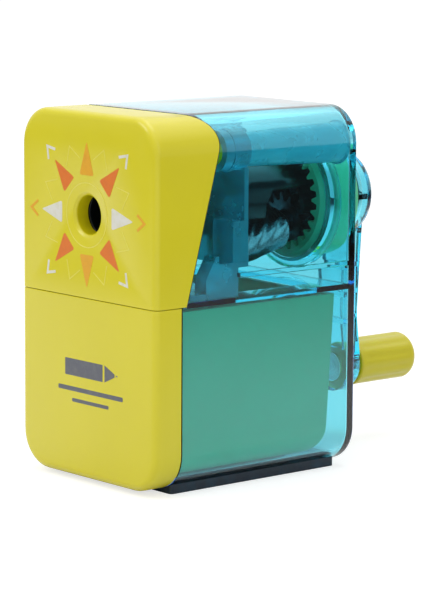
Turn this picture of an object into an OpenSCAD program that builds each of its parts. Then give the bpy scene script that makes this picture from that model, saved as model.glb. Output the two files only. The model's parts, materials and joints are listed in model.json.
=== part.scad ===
// Desk pencil sharpener: a hand crank turns a tilted helical cutter around the pencil,
// and a drawer below catches the shavings.
// Frame: X to the right, Y from the pencil side (-) to the crank side (+), Z up.
// The origin is on the underside of the base pad, midway along the body.

/* [Body] */
// Width of the body
body_w = 48; // [46:0.5:54]
// Depth of the body without the crank
body_d = 59; // [58:0.5:64]
// Height of the body above the table
body_h = 83; // [82:0.5:90]
// Radius of the four long edges
edge_r = 8.4; // [7:0.1:10]
// Thickness of the housing's walls
wall = 1.6; // [1.2:0.1:2]
// Height of the joint between hood and drawer front
seam_z = 41.8; // [41:0.1:42]
// Depth of the drawer front's yellow sides
drawer_front_d = 7.3; // [6:0.1:7.6]

/* [Pencil] */
// Height of the pencil's axis
axis_z = 60.3; // [60:0.1:61]
// Radius of the pencil hole
pencil_r = 4.35; // [4:0.05:4.4]
// Radius of the flare at the hole's mouth
flare_r = 5; // [4.8:0.1:6]

/* [Gears] */
// Gear module
gear_m = 0.9; // [0.9:0.01:0.92]
// Teeth of the fixed ring
ring_teeth = 25; // [25:1:25]
// Teeth of the cutter's pinion
pinion_teeth = 14; // [14:1:14]
// Turn of the ring's teeth from a gap at the bottom
ring_phase = 2.2; // [0:0.1:3]

/* [Cutter] */
// Tilt of the cutter against the pencil
cutter_tilt = 14; // [13:0.5:15]
// Radius over the cutting edges
cutter_r = 5.5; // [5:0.1:5.6]
// Number of cutting edges
cutter_edges = 10; // [6:1:12]
// Length in which an edge goes once around
cutter_lead = 40; // [30:1:60]

/* [Crank] */
// Distance from the pencil's axis to the knob's axis
crank_len = 41.3; // [38:0.1:44]
// Radius of the crank's hub
hub_r = 10.3; // [9:0.1:11]
// Radius of the knob
knob_r = 5.65; // [5:0.05:6]
// Length of the knob
knob_len = 19; // [16:0.5:22]

/* [Hidden] */
$fn = 72;

// Colours
clear_blue = [0.25, 0.7, 0.85, 0.5];
yellow = [0.86, 0.82, 0.2];
lime = [0.45, 0.78, 0.5];
navy = [0.05, 0.12, 0.2];
black = [0.08, 0.09, 0.1];
steel = [0.72, 0.74, 0.76];
brass = [0.75, 0.62, 0.35];
nylon = [0.9, 0.9, 0.86];

// Body
body_z = 1;
front_y = -body_d / 2;
rear_y = body_d / 2;
gap = 0.15;
hood_wall = 1.8;
hood_front_wall = 2;
hood_z = seam_z + 0.1;

// Slanted rear edge of the hood, seen from the side, ending in a round top corner
hood_seam_y = front_y + 8.6;
hood_slant = 14.8;
hood_corner_r = 6;
hood_corner = [front_y + 11.9, body_h - hood_corner_r];

// Shelf between the cutter's chamber and the drawer
shelf_t = 1.2;
shelf_z = seam_z - 0.4;
shelf_top = shelf_z + shelf_t;
chute_w = 33.2;
chute_y0 = -3.5;
chute_y1 = 21;
rail_z = 46.8;
rail_t = 1;
rail_d = 1.2;
rail_y0 = -4.8;

// Screw posts
post_x = 17.5;
post_z = 74.4;
post_r_front = 3.7;
post_r_rear = 4.5;
post_bore_r = 3;
post_seat_y = 2.2;
screw_r = 1.2;
screw_hole_r = 1.45;
screw_len = 17;
screw_head_r = [2.4, 1.9];
screw_head_h = 1.6;
cross_slot = [0.5, 1];
boss_r = 3;
boss_y1 = -8.6;

// Inner frame
frame_y0 = -2.6;
frame_t = 1.2;
frame_y1 = frame_y0 + frame_t;
frame_w = 42;
frame_z0 = 48.9;
frame_z1 = 70.9;
tube_r = 7;
tube_bore_r = pencil_r + 0.1;
tube_y0 = -25.2;
tube_y1 = 7.4;
tube_shoulder_r = 7.6;
tube_shoulder_t = 1.2;
ear_y0 = boss_y1 + 0.04;
ear_ring_y0 = ear_y0 + 2.4;
ear_ring_t = 1.1;
ear_ring_r = post_r_rear + 0.2;
block_x0 = 14.2;
block_t = 3.2;
block_z1 = 59.2;
gusset_y0 = -13.6;
gusset_z1 = 51.8;
gusset_d = 0.8;
gusset_slope = 5;
foot_w = 42.2;
foot_y0 = -18;
foot_y1 = -4.3;
foot_t = 1.2;
leg_w = 3.8;
leg_y0 = -10;
bush_y0 = 4.2;
front_bush_r = 6.3;
sleeve_r = 5.4;

// Ring gear cup
ring_y0 = 27;
ring_tooth_len = 6;
ring_pitch_r = gear_m * ring_teeth / 2;
ring_tip_r = ring_pitch_r - 0.85;
ring_root_r = ring_pitch_r + 0.95;
ring_tooth_half = [0.78, 0.25];
cup_r = 14.2;
cup_flange_r = 15.05;
cup_flange_t = 1.7;
cup_floor_y = 36.4;
cup_y1 = 39.7;
collar_r = 16.5;
collar_y1 = rear_y + 2.5;

// Shafts
shaft_r = 2.5;
running = 0.06;
fixed = 0.02;
shaft_y0 = 33;
shaft_y1 = 47.4;
rear_bush_r = 4.2;
rear_bush_flange_r = 5.6;

// Pinion and cutter, placed by their distance s along the cutter's tilted axis
pinion_pitch_r = gear_m * pinion_teeth / 2;
pinion_mid_y = 29.6;
pinion_offset = ring_pitch_r - pinion_pitch_r * cos(cutter_tilt);
pinion_w = 2.5;
pinion_tip_r = pinion_pitch_r + 0.6;
pinion_root_r = pinion_pitch_r - 1.3;
pinion_tooth_half = [0.7, 0.3];
pinion_hub_r = 2.6;
pinion_phase = ring_phase * ring_teeth / pinion_teeth;
cutter_s0 = -18.7;
cutter_s1 = -2.8;
cutter_chamfer = 2.8;
cutter_bore_r = 1.55;
cutter_pin_r = 1.5;
lug_s0 = -22.2;
lug_s1 = -19.9;
lug_r = 3.1;
pin_s1 = 4.5;

// Carrier
carrier_r = 8.6;
carrier_wall = 1.4;
carrier_y0 = 8;
carrier_flange_t = 1.7;
plate_y0 = 32.9;
plate_y1 = 34.6;
plate_r = 10.1;
window_top = 3.2;
window_y0 = 15;
window_y1 = 26;

// Crank
crank_hub_y0 = 44;
crank_rim_y1 = 45.6;
crank_y1 = 49;
arm_y0 = 45.8;
crank_sleeve_r = 4.6;
crank_sleeve_y0 = 40.9;
arm_end_r = 5.7;
arm_rim = 1.2;
arm_web_y = 47.6;
arm_rib_z = [43, 36.6, 30.2];
knob_z = axis_z - crank_len;
knob_pin_r = 2;
spindle_r = 1.8;
knob_y0 = crank_y1 + 0.4;
crank_screw_r = [2.8, 2.2];
crank_recess_d = 0.9;
knob_pin_head_r = 3.2;
knob_pin_recess_d = 1.3;
drive_pin_r = 0.6;
drive_pin_y = 44.3;

// Drawer
tray_wall = 1.3;
tray_w = 43;
tray_z0 = 3.4;
tray_top = seam_z - 1.2;
tray_r = 6;
tray_y0 = front_y + hood_front_wall;
tray_top_y1 = 24.3;
tray_low_y1 = 21.8;

// ---------------------------------------------------------------- helpers

// Rectangle with round corners, centred on X and standing on y = 0
module round_rect(w, h, r) {
    translate([-w / 2 + r, 0]) square([w - 2 * r, h]);
    translate([-w / 2, r]) square([w, h - 2 * r]);
    for (x = [-w / 2 + r, w / 2 - r], y = [r, h - r]) translate([x, y]) circle(r);
}

// Extrudes an outline drawn in X and Z from y0 to y1
module along_y(y0, y1) {
    translate([0, y1, 0]) rotate([90, 0, 0]) linear_extrude(y1 - y0) children();
}

// Extrudes an outline drawn in Y and Z across the width w
module along_x(w) {
    translate([-w / 2, 0, 0]) rotate([90, 0, 90]) linear_extrude(w) children();
}

// Places a shape drawn along +Z on the line through (x, z), running to +Y from y
module on_y(y, x = 0, z = axis_z) {
    translate([x, y, z]) rotate([-90, 0, 0]) children();
}

module rod(y0, y1, r, x = 0, z = axis_z) {
    on_y(y0, x, z) cylinder(h = y1 - y0, r = r);
}

module ring(y0, y1, r, bore, x = 0, z = axis_z) {
    difference() {
        rod(y0, y1, r, x, z);
        rod(y0 - 1, y1 + 1, bore, x, z);
    }
}

// Places a shape drawn along +Z on the cutter's axis, s = 0 at the pinion's middle
module on_cutter_axis(s = 0) {
    translate([0, pinion_mid_y, axis_z - pinion_offset])
        rotate([cutter_tilt - 90, 0, 0])
            translate([0, 0, s]) children();
}

// Cross-section of the body, drawn in X and Z
module body_section(inset = 0) {
    translate([0, body_z + inset])
        round_rect(body_w - 2 * inset, body_h - body_z - 2 * inset, edge_r - inset);
}

// Side view of the hood, drawn in Y and Z, grown to the rear by grow
module hood_side(grow = 0) {
    r = hood_corner_r + grow;
    polygon(concat(
        [[front_y - 1, body_h + 2], [front_y - 1, hood_z], [hood_seam_y + grow, hood_z]],
        [for (a = [-hood_slant : (90 + hood_slant) / 14 : 90.1])
            [hood_corner[0] + r * cos(a), hood_corner[1] + r * sin(a)]],
        [[hood_corner[0], body_h + 2]]));
}

// Trapezoid tooth from radius r0 to r1, with its half width at either end
module tooth(r0, r1, half) {
    polygon([[r0, -half[0]], [r1, -half[1]], [r1, half[1]], [r0, half[0]]]);
}

// Both screw posts' places
module at_posts() {
    for (x = [-post_x, post_x]) translate([x, 0, post_z]) rotate([-90, 0, 0]) children();
}

// ---------------------------------------------------------------- housing

module housing_shell() {
    difference() {
        along_y(front_y, rear_y) body_section();
        along_y(front_y - 1, rear_y - wall) body_section(wall);
        along_x(body_w + 2) hood_side(gap);
        translate([-body_w, front_y - 1, -1])
            cube([2 * body_w, drawer_front_d + 1.2, hood_z + 1.01]);
    }
}

module shelf() {
    inner_w = body_w - 2 * wall + 0.2;
    difference() {
        translate([-inner_w / 2, hood_seam_y + gap, shelf_z])
            cube([inner_w, rear_y - wall - hood_seam_y, shelf_t]);
        translate([-chute_w / 2, chute_y0, shelf_z - 1])
            cube([chute_w, chute_y1 - chute_y0, shelf_t + 2]);
    }
}

module side_rails() {
    for (side = [-1, 1])
        translate([side * (body_w / 2 - wall - rail_d / 2 + 0.1), 0, rail_z + rail_t / 2])
            translate([0, (rail_y0 + rear_y - wall) / 2, 0])
                cube([rail_d + 0.2, rear_y - wall - rail_y0 + 0.2, rail_t], center = true);
}

module rear_housing() {
    color(clear_blue) difference() {
        union() {
            housing_shell();
            shelf();
            side_rails();
            at_posts() translate([0, 0, frame_y1 + fixed])
                cylinder(h = rear_y - wall / 2 - frame_y1, r1 = post_r_front, r2 = post_r_rear);
            rod(rear_y - wall / 2, collar_y1, collar_r);
        }
        at_posts() {
            translate([0, 0, post_seat_y]) cylinder(h = rear_y, r = post_bore_r);
            translate([0, 0, frame_y1 - 1]) cylinder(h = rear_y, r = screw_hole_r);
        }
        rod(rear_y - wall - 1, collar_y1 + 1, cup_r + 0.05);
        rod(rear_y, collar_y1 + 1, cup_flange_r + 0.05);
    }
}

module front_hood() {
    color(yellow) difference() {
        union() {
            difference() {
                intersection() {
                    along_y(front_y, rear_y) body_section();
                    along_x(body_w + 2) hood_side();
                }
                along_y(front_y + hood_front_wall, rear_y) body_section(hood_wall);
            }
            // Floor over the drawer front
            translate([-body_w / 2 + 1, front_y + 1, hood_z])
                cube([body_w - 2, hood_seam_y - front_y - 1.6, shelf_t]);
            rod(front_y + 1, tube_y0 - 0.5, pencil_r + 1.8);
            at_posts() translate([0, 0, front_y + 1])
                cylinder(h = boss_y1 - front_y - 1, r = boss_r);
        }
        rod(front_y - 1, 0, pencil_r);
        on_y(front_y - 0.01) cylinder(h = flare_r - pencil_r, r1 = flare_r, r2 = pencil_r);
        at_posts() translate([0, 0, post_seat_y - screw_len - 1]) cylinder(h = 20, r = screw_r + fixed);
    }
}

module inner_frame() {
    side_x = frame_w / 2;
    rib_x = 13.6;
    rib_y1 = 4.5;
    color(clear_blue) difference() {
        union() {
            translate([-side_x, frame_y0, frame_z0]) cube([frame_w, frame_t, frame_z1 - frame_z0]);
            // Ears that reach forward to the hood's bosses
            at_posts() translate([0, 0, ear_y0]) cylinder(h = frame_y1 - ear_y0, r = post_r_rear);
            at_posts() translate([0, 0, ear_ring_y0]) cylinder(h = ear_ring_t, r = ear_ring_r);
            // Thick blocks on the plate's lower corners
            for (side = [-1, 1])
                translate([side * (block_x0 + side_x) / 2 - (side_x - block_x0) / 2,
                    frame_y0 - block_t, frame_z0])
                    cube([side_x - block_x0, block_t + 0.1, block_z1 - frame_z0]);
            // Upright ribs that stiffen the plate
            for (side = [-1, 1])
                translate([side * rib_x - frame_t / 2, frame_y0, frame_z0])
                    cube([frame_t, rib_y1 - frame_y0, frame_z1 - frame_z0 - 7]);
            // Legs and the foot that stands on the shelf
            for (side = [-1, 1]) {
                translate([side * (foot_w - leg_w) / 2 - leg_w / 2, leg_y0, shelf_top + fixed])
                    cube([leg_w, foot_y1 - leg_y0, frame_z0 + frame_t - shelf_top - fixed]);
                translate([side * (foot_w - leg_w) / 2 - leg_w / 2, leg_y0, frame_z0])
                    cube([leg_w, frame_y1 - leg_y0, frame_t]);
                // Gusset in front of the leg
                translate([side * (foot_w - leg_w) / 2, 0, 0]) along_x(leg_w) polygon([
                    [gusset_y0, shelf_top + foot_t], [leg_y0 + 0.1, shelf_top + foot_t],
                    [leg_y0 + 0.1, gusset_z1], [leg_y0 - gusset_d, gusset_z1],
                    [gusset_y0, gusset_z1 - gusset_slope]]);
            }
            translate([-foot_w / 2, foot_y0, shelf_top + fixed])
                cube([foot_w, foot_y1 - foot_y0, foot_t]);
        }
        rod(frame_y0 - 1, frame_y1 + 1, tube_r + fixed);
        at_posts() translate([0, 0, ear_y0 - 1]) cylinder(h = 12, r = screw_hole_r);
    }
}

// Tube that leads the pencil to the cutter, with the carrier's bearing seat in its rear end
module guide_tube() {
    color(black) difference() {
        union() {
            rod(tube_y0, tube_y1, tube_r);
            rod(frame_y0 - tube_shoulder_t - fixed, frame_y0 - fixed, tube_shoulder_r);
        }
        rod(tube_y0 - 1, tube_y1 + 1, tube_bore_r);
        rod(bush_y0 - fixed, tube_y1 + 1, front_bush_r + fixed);
    }
}

module front_bush() {
    color(nylon) ring(bush_y0, tube_y1, front_bush_r, sleeve_r + running);
}

// Cup with the fixed internal teeth, pushed into the rear wall from behind
module ring_gear() {
    mouth_chamfer = [0.95, 1.6];
    end_chamfer = 1;
    color(lime) {
        on_y(0) rotate_extrude() polygon([
            [ring_root_r, ring_y0], [cup_r - mouth_chamfer[0], ring_y0],
            [cup_r, ring_y0 + mouth_chamfer[1]], [cup_r, rear_y + fixed],
            [cup_flange_r, rear_y + fixed], [cup_flange_r, rear_y + cup_flange_t],
            [cup_r, rear_y + cup_flange_t], [cup_r, cup_y1 - end_chamfer],
            [cup_r - end_chamfer, cup_y1], [rear_bush_r + fixed, cup_y1],
            [rear_bush_r + fixed, cup_floor_y], [ring_root_r, cup_floor_y]]);
        on_y(ring_y0) linear_extrude(ring_tooth_len)
            for (i = [0 : ring_teeth - 1])
                rotate(90 + ring_phase + (i + 0.5) * 360 / ring_teeth)
                    tooth(ring_root_r + 0.4, ring_tip_r, ring_tooth_half);
    }
}

module rear_bush() {
    color(brass) difference() {
        union() {
            rod(cup_floor_y - 0.9, cup_floor_y - fixed, rear_bush_flange_r);
            rod(cup_floor_y - 0.5, cup_y1 + 0.3, rear_bush_r);
        }
        rod(cup_floor_y - 2, cup_y1 + 1, shaft_r + running);
    }
}

// Anti-slip pad that fills the space under the body's round lower edges
module base_pad() {
    pad_w = 40.2;
    pad_y0 = front_y + drawer_front_d + 0.3;
    pad_y1 = 26.9;
    color(navy) difference() {
        translate([-pad_w / 2, pad_y0, 0]) cube([pad_w, pad_y1 - pad_y0, 2.2]);
        along_y(front_y, rear_y) body_section(-fixed);
    }
}

// Cross-recessed head drawn along +Z: its radii below and above, its height and its slots' length
module screw_head(r, h, slot_len) {
    difference() {
        cylinder(h = h, r1 = r[0], r2 = r[1]);
        for (turn = [0, 90]) rotate(turn)
            translate([0, 0, h])
                cube([slot_len, cross_slot[0], cross_slot[1]], center = true);
    }
}

module housing_screws() {
    color(steel) at_posts() {
        translate([0, 0, post_seat_y - screw_len]) cylinder(h = screw_len + 0.5, r = screw_r);
        translate([0, 0, post_seat_y]) screw_head(screw_head_r, screw_head_h, 2.6);
    }
}

// ---------------------------------------------------------------- carrier and crank

module carrier_shell() {
    window_h = window_top + carrier_r;
    difference() {
        rod(carrier_y0, plate_y0 + 0.1, carrier_r);
        rod(carrier_y0 + carrier_flange_t, plate_y0 + 1, carrier_r - carrier_wall);
        // Open underside for the cutter
        translate([-carrier_r - 1, carrier_y0 + carrier_flange_t, axis_z - carrier_r - 3])
            cube([2 * carrier_r + 2, plate_y0, carrier_r]);
        // Side window with a slanted front edge
        translate([carrier_r, 0, axis_z]) along_x(carrier_r)
            polygon([[window_y0, -window_h], [window_y0, 0], [window_y0 + 2.4, window_top],
                [window_y1, window_top], [window_y1, -window_h]]);
    }
}

module cutter_carrier() {
    lug_drop = pinion_offset + (pinion_mid_y - carrier_y0) * tan(cutter_tilt);
    color(black) difference() {
        union() {
            carrier_shell();
            rod(bush_y0 + 0.3, carrier_y0 + 0.1, sleeve_r);
            rod(plate_y0, plate_y1, plate_r);
            translate([-lug_r, carrier_y0, axis_z - lug_drop])
                cube([2 * lug_r, carrier_flange_t, lug_drop]);
            on_cutter_axis(lug_s0) cylinder(h = lug_s1 - lug_s0, r = lug_r);
        }
        rod(-1, carrier_y0 + carrier_flange_t + 1, pencil_r + 0.05);
        rod(plate_y0 - 1, plate_y1 + 1, shaft_r + fixed);
        on_cutter_axis(lug_s0 - 1) cylinder(h = pin_s1 - lug_s0 + 1.05, r = cutter_pin_r + fixed);
    }
}

module cutter_pin() {
    color(steel) on_cutter_axis(lug_s0 + 0.2) cylinder(h = pin_s1 - lug_s0 - 0.2, r = cutter_pin_r);
}

module drive_shaft() {
    color(steel) difference() {
        rod(shaft_y0, shaft_y1, shaft_r);
        translate([0, drive_pin_y, axis_z]) rotate([0, 90, 0])
            cylinder(h = 4 * shaft_r, r = drive_pin_r + fixed, center = true);
        rod(shaft_y1 - 2.4, shaft_y1 + 1, screw_r + fixed);
    }
}

module thrust_washer() {
    color(nylon) ring(plate_y1 + 0.05, plate_y1 + 0.8, rear_bush_flange_r - 0.1, shaft_r + running);
}

module crank_washer() {
    color(steel) ring(cup_y1 + 0.4, crank_sleeve_y0 - 0.05, crank_sleeve_r, shaft_r + running);
}

// Outline of the arm in X and Z, waisted between the hub and the knob's end
module arm_outline(inset = 0) {
    half = [[axis_z, 4.2], [57, 6], [52, 6], [46, 5.2], [38, 4.7], [31, 4.35], [25, 4.7], [21, 5.35]];
    low = len(half) - 1;
    polygon(concat([for (p = half) [p[1] - inset, p[0]]],
        [for (i = [low : -1 : 0]) [inset - half[i][1], half[i][0]]]));
    translate([0, knob_z]) circle(arm_end_r - inset);
}

module crank_hub() {
    dome_r = 5;
    on_y(0) rotate_extrude() polygon(concat(
        [[0, crank_hub_y0], [hub_r - 0.4, crank_hub_y0], [hub_r, crank_hub_y0 + 0.4],
            [hub_r, crank_rim_y1]],
        [for (a = [10 : 10 : 90]) [dome_r + (hub_r - dome_r) * cos(a),
            crank_rim_y1 + (crank_y1 - crank_rim_y1) * sin(a)]],
        [[0, crank_y1]]));
}

module crank_arm() {
    shell = 1.4;
    color(clear_blue) difference() {
        union() {
            difference() {
                crank_hub();
                // Hollow inside the hub
                ring(crank_hub_y0 - 1, crank_y1 - 2.4, hub_r - shell, crank_sleeve_r);
            }
            rod(crank_sleeve_y0, crank_y1 - 1, crank_sleeve_r);
            difference() {
                along_y(arm_y0, crank_y1) arm_outline();
                along_y(arm_y0 - 1, arm_web_y) intersection() {
                    arm_outline(arm_rim);
                    translate([-20, knob_z + arm_end_r - 1]) square([40, 26]);
                }
                ring(arm_y0 - 1, crank_y1 - 2.4, hub_r - shell, crank_sleeve_r);
            }
            for (z = arm_rib_z)
                translate([-4.2, arm_y0, z - arm_rim / 2]) cube([8.4, 2, arm_rim]);
        }
        rod(crank_sleeve_y0 - 1, shaft_y1 + fixed, shaft_r + fixed);
        // Slot across the hub's front for the drive pin
        translate([-hub_r - 1, crank_hub_y0 - 4, axis_z - drive_pin_r - fixed])
            cube([2 * hub_r + 2, drive_pin_y + drive_pin_r + fixed - crank_hub_y0 + 4,
                2 * (drive_pin_r + fixed)]);
        rod(shaft_y1 - 1, crank_y1 + 1, screw_r + 0.1);
        rod(crank_y1 - crank_recess_d, crank_y1 + 1, crank_screw_r[0] + 0.1);
        rod(arm_y0 - 1, crank_y1 + 1, knob_pin_r + fixed, 0, knob_z);
        rod(arm_y0 - 1, arm_y0 + knob_pin_recess_d, knob_pin_head_r + 0.2, 0, knob_z);
    }
}

module drive_pin() {
    color(navy) translate([0, drive_pin_y, axis_z]) rotate([0, 90, 0])
        cylinder(h = 2 * hub_r - 0.2, r = drive_pin_r, center = true);
}

module crank_screw() {
    head_y = crank_y1 - crank_recess_d + fixed;
    color(steel) {
        rod(shaft_y1 - 2.3, head_y + 0.1, screw_r);
        on_y(head_y) screw_head(crank_screw_r, 1.3, 3);
    }
}

module knob_pin() {
    color(steel) {
        rod(arm_y0 + 0.1, arm_y0 + knob_pin_recess_d - fixed, knob_pin_head_r, 0, knob_z);
        rod(arm_y0 + 1, crank_y1 + 0.2, knob_pin_r, 0, knob_z);
        rod(crank_y1 + 0.1, knob_y0 + knob_len - 4.4, spindle_r, 0, knob_z);
        on_y(knob_y0 + knob_len - 5.4, 0, knob_z) cylinder(h = 1.2, r1 = spindle_r + 0.35, r2 = spindle_r);
    }
}

// ---------------------------------------------------------------- cutter

// Fluted bar, twisted so that each edge climbs towards the crank
module helical_cutter() {
    len = cutter_s1 - cutter_s0;
    step = 360 / cutter_edges;
    steps = 4;
    flute = 0.8;
    color(steel) on_cutter_axis(cutter_s0) difference() {
        intersection() {
            linear_extrude(len, twist = 360 * len / cutter_lead, slices = 18)
                polygon([for (i = [0 : cutter_edges - 1], j = [0 : steps - 1])
                    let (a = step * (i + j / steps), r = cutter_r - flute * sin(180 * j / steps))
                        [r * cos(a), r * sin(a)]]);
            rotate_extrude($fn = 32) polygon([[0, 0], [cutter_r - 0.4, 0], [cutter_r, 0.4],
                [cutter_r, len - cutter_chamfer], [cutter_r - cutter_chamfer, len], [0, len]]);
        }
        translate([0, 0, -1]) cylinder(h = len + 2, r = cutter_bore_r, $fn = 32);
    }
}

module cutter_pinion() {
    color(steel) on_cutter_axis() difference() {
        union() {
            translate([0, 0, cutter_s1 + fixed]) cylinder(h = -cutter_s1, r = pinion_hub_r);
            translate([0, 0, -pinion_w / 2]) linear_extrude(pinion_w) {
                circle(pinion_root_r);
                for (i = [0 : pinion_teeth - 1])
                    rotate(90 + pinion_phase + i * 360 / pinion_teeth)
                        tooth(pinion_root_r - 0.3, pinion_tip_r, pinion_tooth_half);
            }
        }
        translate([0, 0, cutter_s1 - 1]) cylinder(h = 10, r = cutter_bore_r);
    }
}

// ---------------------------------------------------------------- knob and drawer

module knob() {
    end_r = 2.6;
    flutes = 12;
    flute_r = 5;
    flute_depth = 0.16;
    last = knob_len - end_r;
    color(yellow) on_y(knob_y0, 0, knob_z) difference() {
        rotate_extrude() polygon(concat(
            [[spindle_r + running, 0], [knob_r - 0.6, 0], [knob_r, 0.6]],
            [for (a = [0 : 10 : 90]) [knob_r - end_r + end_r * cos(a), last + end_r * sin(a)]],
            [[0, knob_len], [0, knob_len - 2.4], [spindle_r + 0.6, knob_len - 2.4],
                [spindle_r + 0.6, knob_len - 5.6], [spindle_r + running, knob_len - 5.6]]));
        for (i = [0 : flutes - 1])
            rotate((i + 0.5) * 360 / flutes)
                translate([knob_r + flute_r - flute_depth, 0, 1.2])
                    cylinder(h = knob_len - end_r - 1.4, r = flute_r);
    }
}

module drawer_front() {
    color(yellow) difference() {
        along_y(front_y, front_y + drawer_front_d) body_section();
        along_y(front_y + hood_front_wall, rear_y) body_section(hood_wall);
        translate([-body_w, front_y - 1, seam_z - 0.2]) cube([2 * body_w, body_d, body_h]);
    }
}

// Outline of the tray's side, drawn in Y and Z, with a slanted rear wall
module tray_side(inset = 0) {
    r = 7.5 - inset;
    y1 = tray_low_y1 - inset;
    polygon(concat(
        [[tray_y0 + fixed + inset, tray_top + (inset > 0 ? 1 : 0)],
            [tray_y0 + fixed + inset, tray_z0 + inset]],
        [for (a = [-90 : 10 : 0]) [y1 - r + r * cos(a), tray_z0 + inset + r + r * sin(a)]],
        [[tray_top_y1 - inset, tray_top + (inset > 0 ? 1 : 0)]]));
}

module drawer_tray() {
    color(lime) difference() {
        intersection() {
            along_x(tray_w) tray_side();
            along_y(front_y, rear_y) translate([0, tray_z0]) round_rect(tray_w, body_h, tray_r);
        }
        intersection() {
            along_x(tray_w - 2 * tray_wall) tray_side(tray_wall);
            along_y(front_y, rear_y) translate([0, tray_z0 + tray_wall])
                round_rect(tray_w - 2 * tray_wall, body_h, tray_r - tray_wall);
        }
    }
}

rear_housing();
front_hood();
inner_frame();
guide_tube();
front_bush();
ring_gear();
rear_bush();
base_pad();
housing_screws();
cutter_carrier();
cutter_pin();
drive_shaft();
thrust_washer();
crank_washer();
crank_arm();
drive_pin();
crank_screw();
knob_pin();
helical_cutter();
cutter_pinion();
knob();
drawer_front();
drawer_tray();
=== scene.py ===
"""Looks of a desk pencil sharpener: a clear blue housing with a yellow hood, a drawer and a hand crank.

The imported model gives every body, node and joint. Each sub-assembly is a class that holds its sizes in
millimetres, builds its pieces and dresses them. A piece leaves its builder in metres, in the model's frame.
"""

import json
import logging
import math
from dataclasses import dataclass
from enum import Enum
from typing import Callable, Optional, Sequence, Union

import bmesh
import bpy
from mathutils import Matrix, Vector


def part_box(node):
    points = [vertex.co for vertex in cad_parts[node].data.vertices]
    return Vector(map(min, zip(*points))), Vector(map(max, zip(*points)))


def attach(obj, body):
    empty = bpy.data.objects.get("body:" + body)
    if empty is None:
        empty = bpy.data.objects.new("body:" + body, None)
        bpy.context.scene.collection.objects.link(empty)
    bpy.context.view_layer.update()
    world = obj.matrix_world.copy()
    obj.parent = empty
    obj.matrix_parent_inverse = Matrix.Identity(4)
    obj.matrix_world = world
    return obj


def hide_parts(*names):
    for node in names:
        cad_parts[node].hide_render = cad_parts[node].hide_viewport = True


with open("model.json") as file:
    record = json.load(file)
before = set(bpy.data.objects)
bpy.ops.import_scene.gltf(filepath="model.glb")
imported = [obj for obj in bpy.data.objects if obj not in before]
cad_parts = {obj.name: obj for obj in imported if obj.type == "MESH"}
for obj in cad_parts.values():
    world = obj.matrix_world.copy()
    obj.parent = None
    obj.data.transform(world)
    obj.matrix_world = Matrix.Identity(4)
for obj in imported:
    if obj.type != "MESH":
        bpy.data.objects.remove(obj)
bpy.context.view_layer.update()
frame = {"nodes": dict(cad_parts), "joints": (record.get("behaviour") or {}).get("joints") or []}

LOG = logging.getLogger("sharpener")
MM = 0.001
ARC_STEPS = 10
TURN_STEPS = 72
SHARP_ANGLE = math.radians(32)
Corner = tuple[float, ...]


# ---------------------------------------------------------------- names

class Body(Enum):
    """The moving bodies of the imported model."""

    HOUSING = "housing"
    CRANK = "crank"
    CUTTER = "cutter"
    KNOB = "knob"
    DRAWER = "drawer"


class Slot(Enum):
    """The record's material slots."""

    CLEAR_BLUE = "clear_blue"
    YELLOW = "yellow_plastic"
    GREEN = "green_plastic"
    NYLON = "white_nylon"
    BRONZE = "bronze"
    RUBBER = "navy_rubber"
    BRIGHT_STEEL = "bright_steel"
    DARK_STEEL = "dark_steel"
    CUTTER_STEEL = "cutter_steel"
    BLACK = "black_plastic"


class Axis(Enum):
    """The direction that an outline is extruded in, with the plane that it is drawn in."""

    X = "YZ"
    Y = "XZ"
    Z = "XY"


class Join(Enum):
    """How one solid changes another."""

    ADD = "UNION"
    CUT = "DIFFERENCE"
    KEEP = "INTERSECT"


# ---------------------------------------------------------------- solids

AXIS_MATRIX = {
    Axis.X: Matrix(((0, 0, 1, 0), (1, 0, 0, 0), (0, 1, 0, 0), (0, 0, 0, 1))),
    Axis.Y: Matrix(((1, 0, 0, 0), (0, 0, 1, 0), (0, 1, 0, 0), (0, 0, 0, 1))),
    Axis.Z: Matrix.Identity(4),
}


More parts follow.
